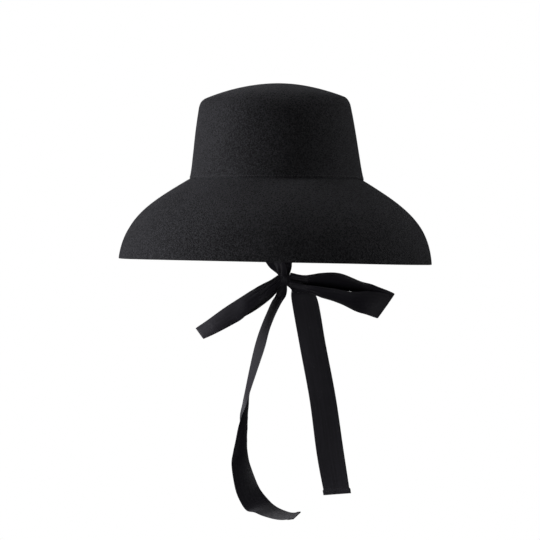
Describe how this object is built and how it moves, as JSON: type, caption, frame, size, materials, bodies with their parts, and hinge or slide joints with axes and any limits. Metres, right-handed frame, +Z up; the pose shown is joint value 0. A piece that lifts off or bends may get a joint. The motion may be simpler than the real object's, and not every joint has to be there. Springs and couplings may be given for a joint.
{
  "type": "wide-brimmed felt hat with ribbon ties",
  "caption": "Felt hat with a low flat-domed crown, a wide brim that curves down like a lampshade, and ribbon ties that meet in a bow below the brim.",
  "frame": {"origin": "middle of the head opening, at the height of the seam between crown and brim", "axes": "+Z up through the crown, front of the hat at -Y, +X to the right as seen from the front"},
  "size_m": [0.3138, 0.3468, 0.4331],
  "materials": {
    "felt": "black wool felt, matt and finely hairy",
    "ribbon": "black woven ribbon with a soft sheen and plain selvedges"
  },
  "bodies": {
    "root": {"crown": "felt", "brim": "felt", "strap_left": "ribbon", "strap_right": "ribbon", "bow_knot": "ribbon", "bow_loop_left": "ribbon", "bow_loop_right": "ribbon", "tail_left": "ribbon", "tail_right": "ribbon"}
  },
  "joints": []
}
